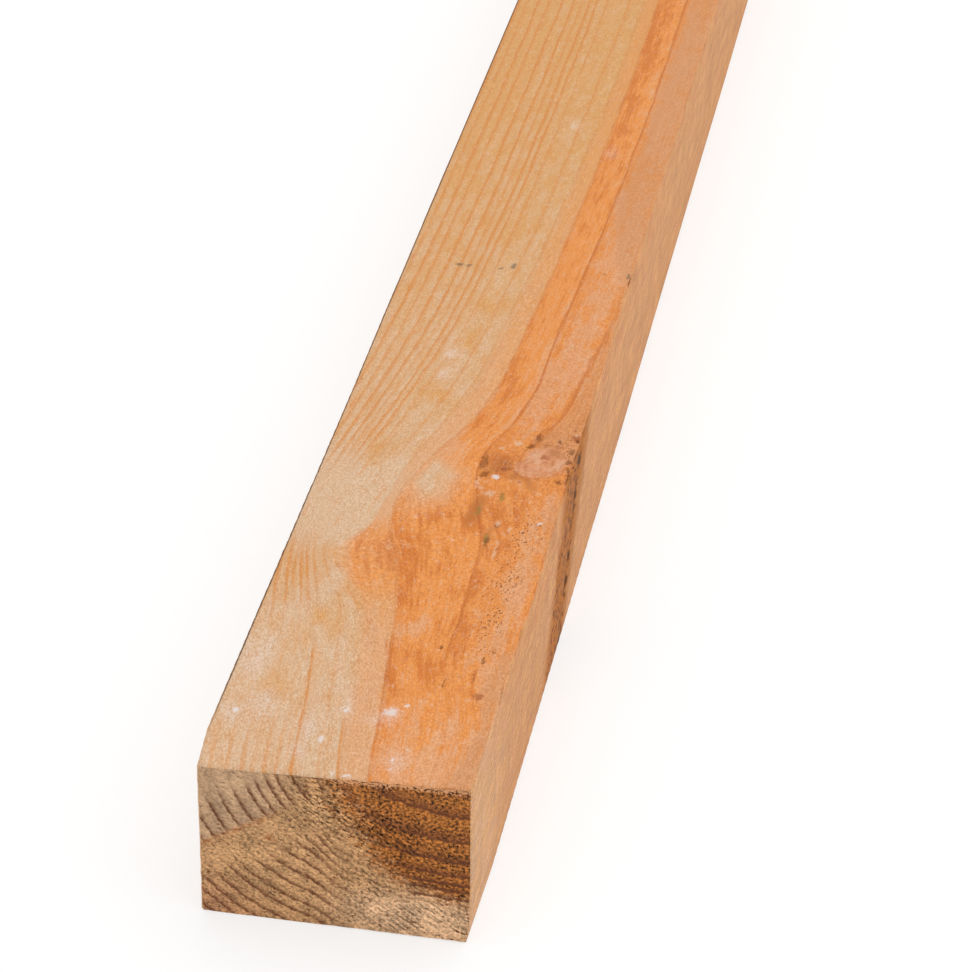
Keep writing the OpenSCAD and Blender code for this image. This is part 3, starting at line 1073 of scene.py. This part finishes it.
def end_grain_material(finish, rings, torn_fibre):
    """Cross-cut ends: darker, speckled, with dark late wood, pits where fibres were pulled out darkened as
    painted shade, and painted light and shade of torn fibre.
    """
    material, bench, shader = new_material("end_grain", finish)
    wood = bench.place(rings, {"Line Width": 1.45})
    band, fine = wood["Band"], wood["Fine"]
    place, polar = bench.field("wood", "Vector"), bench.field("polar", "Vector")
    grey, pulled, shown, lip = (bench.field(name) for name in ("grey_block", "pulled", "line", "lip"))
    clump = bench.noise(place, (0.55, 0.3, 0.55), 3.0, 0.6)
    blotch = bench.noise(place, (0.13, 0.1, 0.13)).ramp(0.32, 0.68, 0.72, 1.12)
    bits = bench.noise(place, (1.05, 0.3, 1.25), 3.0, 0.7)
    base = bench.coat(bench.tint("end_sap"), grey, "end_grey")
    base = bench.coat(base, bench.field("red_corner"), "end_red")
    base = bench.coat(base, bench.field("pale_corner"), "end_pale")
    heart = (bench.field("end_heart") + (clump - 0.5) * 5.0).ramp(-1.6, 1.0)
    brown = bench.coat(bench.tint("end_heart"), band.ramp(0.0, 1.0, 0.0, 0.55), "end_line")
    base = bench.mix(heart, base, brown)

    coarse_pit, coarse_shade = torn(
        bench, torn_fibre, polar, (0.55, 0.2, 1.1), (0.5, 0.0, -0.6), pulled * 0.5 + 0.4)
    small_pit, small_shade = torn(
        bench, torn_fibre, place, (0.65, 0.3, 0.95), (0.3, 0.0, 0.45), pulled * 0.25 + 0.6)
    rough_share = 1.0 - grey * 0.5
    shade = (coarse_shade * (pulled + 0.25) + small_shade * 0.4) * 2.0 * rough_share
    speckle = bits.ramp(0.34, 0.66, -0.37, 0.44) * rough_share * (heart * 1.3 + 1.0)
    # Painted light and shade: the torn fibre's rise lightens one side of each pit and darkens the other;
    # speckle and blotch are the wood's own tone
    base = bench.mix(1.0, base, shade + speckle + blotch, "MULTIPLY")
    line = wood["Late"] * shown * clump.ramp(0.36, 0.58, 0.6, 1.0)
    fringe = (bits + lip * 0.26).ramp(0.62, 0.74, 0.0, 0.9)
    wide_share = (rough_share + 0.2).clamped()
    for share, tint in (
        (bench.highest(line, band * shown * 0.25), "end_line"),
        (bench.field("end_mark") * clump.ramp(0.4, 0.6, 0.2, 1.0), "red_knot"),
        (fringe * lip.ramp(0.0, 0.15), "peach"),
        # Pits on the end: dark as a painted shade in their hollows, near black for the coarse ones
        (small_pit * (wide_share * 0.9), "speck"),
        (coarse_pit * (wide_share * 0.85), "pit"),
    ):
        base = bench.coat(base, share, tint)
    bumps = fine * 0.5 + clump - bench.highest(coarse_pit, small_pit)
    finish_surface(bench, shader, base, fine.ramp(0.2, 0.8, 0.75, 0.95), bumps, 0.55, 0.0005)
    return material


# Bake picture: start and end across it of each side's strip, from the underside round to the left side
BAKE_STRIPS = ((0.005, 0.135), (0.145, 0.325), (0.335, 0.635), (0.645, 0.735))
BAKE_MARGIN = 0.005
# Corner of each end's patch in the bake picture, and its size there per mm
BAKE_NEAR_END, BAKE_FAR_END = (0.75, 0.02), (0.75, 0.52)
BAKE_END_SCALE = 0.0031


def bake_map(points, quads, triangles, is_end):
    """Places of the faces' corners in the bake picture: a strip for each long side, and the ends beside.

    Strips run by row along the picture and by place across it; ends keep their own flat shape.
    """
    counts = np.array([ACROSS, UP, ACROSS, UP])
    starts = np.cumsum(counts) - counts
    around = counts.sum()
    steps = np.count_nonzero(~is_end) // around - 1
    row, place = np.meshgrid(np.arange(steps), np.arange(around), indexing="ij")
    side = np.searchsorted(starts, place, "right") - 1
    strips = np.array(BAKE_STRIPS)[side]
    pitch = (strips[..., 1] - strips[..., 0]) / counts[side]
    left = strips[..., 0] + (place - starts[side]) * pitch
    low = BAKE_MARGIN + (1.0 - 2.0 * BAKE_MARGIN) * row / steps
    high = BAKE_MARGIN + (1.0 - 2.0 * BAKE_MARGIN) * (row + 1) / steps
    across = np.stack([left, left, left + pitch, left + pitch], -1)
    along = np.stack([low, high, high, low], -1)
    is_far = points[:, 1:2] > points[:, 1].mean()
    flat = BAKE_END_SCALE * points[:, [0, 2]] + np.where(is_far, BAKE_FAR_END, BAKE_NEAR_END)
    ends = [flat[part].reshape(-1, 2) for part in (quads[steps * around:], triangles)]
    return np.concatenate([np.stack([across, along], -1).reshape(-1, 2), *ends])


def set_field(mesh, name, values):
    """Stores a number or a vector per point as an attribute of the mesh."""
    if values.ndim == 1:
        mesh.attributes.new(name, "FLOAT", "POINT").data.foreach_set("value", values.astype(np.float32))
    else:
        attribute = mesh.attributes.new(name, "FLOAT_VECTOR", "POINT")
        attribute.data.foreach_set("vector", values.astype(np.float32).ravel())


class PLANK_OT_body(bpy.types.Operator):
    """Build the plank's sawn body with its relief and wood materials"""

    bl_idname = "plank.body"
    bl_label = "Sawn Body"
    bl_options = {"REGISTER", "UNDO"}

    def execute(self, context):
        shape = context.scene.plank_shape
        finish = context.scene.plank_finish
        points, normals, quads, triangles, is_end = plank_grid(shape)
        fields = wood_fields(points, normals, is_end, shape)
        faces = face_relief(points, fields) + arris_wear(points, normals)
        height = np.where(is_end, end_relief(points, fields, shape), faces)
        moved = points + (height - fields.pop("hollow"))[:, None] * normals
        mesh = new_mesh("plank_body", to_metres(knocked(moved, shape), shape), quads, triangles)
        for name, values in fields.items():
            set_field(mesh, name, values)
        corners = bake_map(points, quads, triangles, is_end)
        mesh.uv_layers.new(name="OFBake").data.foreach_set("uv", corners.astype(np.float32).ravel())
        rings = growth_ring_group()
        torn_fibre = torn_fibre_group()
        mesh.materials.append(sawn_face_material(finish, rings, torn_fibre))
        mesh.materials.append(end_grain_material(finish, rings, torn_fibre))
        on_end = np.concatenate([is_end[quads].all(1), is_end[triangles].any(1)])
        mesh.polygons.foreach_set("material_index", on_end.astype(np.int32))
        body = add_object(context.scene, "plank_body", mesh)
        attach(body, "root")
        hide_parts("plank")
        return {"FINISHED"}


# Camera as fitted to the plank's edges: place in metres, turn in degrees, and lens and sensor in mm
CAMERA_PLACE = (0.1709, -1.6600, 0.6183)
CAMERA_YAW, CAMERA_PITCH, CAMERA_ROLL = -9.791, 31.609, 0.970
CAMERA_LENS, SENSOR_WIDTH = 136.35, 36.0


def camera_turn():
    """Rotation from the yaw to the left, the pitch down and the roll, as columns right, up and back."""
    yaw, pitch, roll = (math.radians(angle) for angle in (CAMERA_YAW, CAMERA_PITCH, CAMERA_ROLL))
    level = np.array([math.sin(yaw), math.cos(yaw), 0.0])
    forward = math.cos(pitch) * level - np.array([0.0, 0.0, math.sin(pitch)])
    right = np.array([math.cos(yaw), -math.sin(yaw), 0.0])
    up = np.cross(right, forward)
    turned_right = math.cos(roll) * right + math.sin(roll) * up
    turned_up = math.cos(roll) * up - math.sin(roll) * right
    return np.stack([turned_right, turned_up, -forward], -1)


# Light on the object, and what the floor gains for rays from the camera, so that it shows white
SKY_STRENGTH, SUN_STRENGTH, FLOOR_LIFT = 0.8, 0.9, 0.62
# Share of the floor's colour, and so of shadow and glow, that the camera sees
FLOOR_SHOWN = 0.45
# Half the floor's side in metres, and the sun's spread and turn in degrees
FLOOR_REACH, SUN_SPREAD, SUN_TURN = 20.0, 100.0, (-25.0, 30.0, 0.0)
WHITE = (1.0, 1.0, 1.0, 1.0)


def seen_ray(bench):
    """1 for rays that show the background: from the camera, in a mirror or through glass."""
    rays = bench.node("ShaderNodeLightPath", {}).outputs
    camera, mirror, glass = (
        Wire(bench, rays[name]) for name in ("Is Camera Ray", "Is Glossy Ray", "Is Transmission Ray"))
    return bench.highest(camera, bench.highest(mirror, glass))


def add_object(scene, name, data):
    """Links a new object to the scene."""
    added = bpy.data.objects.new(name, data)
    scene.collection.objects.link(added)
    return added


def pale_floor(scene):
    """A flat square that shows nearly white to the camera and keeps the object's shadow."""
    corners = np.array([(-1, -1, 0), (1, -1, 0), (1, 1, 0), (-1, 1, 0)], float) * FLOOR_REACH
    mesh = new_mesh("floor", corners, np.array([[0, 1, 2, 3]]), np.zeros((0, 3), int))
    material, bench, shader = new_material("floor", scene.plank_finish)
    seen = seen_ray(bench)
    dimmed = colour([FLOOR_SHOWN * part for part in scene.plank_finish.floor])
    for name, value in (
        ("Base Color", bench.mix(seen, bench.tint("floor"), dimmed)),
        ("Roughness", 1.0),
        ("Specular IOR Level", 0.0),
        ("Emission Color", WHITE),
        ("Emission Strength", seen * FLOOR_LIFT),
    ):
        bench.join(value, shader.inputs[name])
    mesh.materials.append(material)
    return add_object(scene, "floor", mesh)


class PLANK_OT_stage(bpy.types.Operator):
    """Set out the pale floor, the soft light and the camera"""

    bl_idname = "plank.stage"
    bl_label = "Stage"
    bl_options = {"REGISTER", "UNDO"}

    def execute(self, context):
        scene = context.scene
        floor = pale_floor(scene)

        sun = bpy.data.lights.new("soft_sun", "SUN")
        sun.energy = SUN_STRENGTH
        sun.angle = math.radians(SUN_SPREAD)
        lamp = add_object(scene, "soft_sun", sun)
        lamp.rotation_euler = [math.radians(angle) for angle in SUN_TURN]

        world = bpy.data.worlds.new("studio")
        world.use_nodes = True
        bench = Bench(world.node_tree)
        light = world.node_tree.nodes["Background"]
        bench.join(WHITE, light.inputs["Color"])
        bench.join(seen_ray(bench).ramp(0.0, 1.0, SKY_STRENGTH, 1.0), light.inputs["Strength"])
        scene.world = world

        data = bpy.data.cameras.new("photo_camera")
        data.sensor_width = SENSOR_WIDTH
        data.lens = CAMERA_LENS
        camera = add_object(scene, "photo_camera", data)
        matrix = np.eye(4)
        matrix[:3, :3] = camera_turn()
        matrix[:3, 3] = CAMERA_PLACE
        camera.matrix_world = Matrix(matrix.tolist())
        scene.camera = camera
        scene.view_settings.view_transform = "Standard"
        return {"FINISHED"}


class VIEW3D_PT_plank(bpy.types.Panel):
    """Lists the plank's steps, sizes and colours"""

    bl_idname = "VIEW3D_PT_plank"
    bl_label = "Sawn Plank"
    bl_space_type = "VIEW_3D"
    bl_region_type = "UI"
    bl_category = "Plank"

    def draw(self, context):
        for operator in OPERATORS:
            self.layout.operator(operator.bl_idname)
        for group in (context.scene.plank_shape, context.scene.plank_finish):
            box = self.layout.box()
            for name in group.__annotations__:
                box.prop(group, name)


OPERATORS = (PLANK_OT_body, PLANK_OT_stage)
CLASSES = (PlankShape, PlankFinish, *OPERATORS, VIEW3D_PT_plank)


def register():
    for item in CLASSES:
        bpy.utils.register_class(item)
    bpy.types.Scene.plank_shape = bpy.props.PointerProperty(type=PlankShape)
    bpy.types.Scene.plank_finish = bpy.props.PointerProperty(type=PlankFinish)


def unregister():
    del bpy.types.Scene.plank_finish
    del bpy.types.Scene.plank_shape
    for item in reversed(CLASSES):
        bpy.utils.unregister_class(item)


def main():
    register()
    bpy.ops.plank.body()
    bpy.ops.plank.stage()


if __name__ == "__main__":
    main()
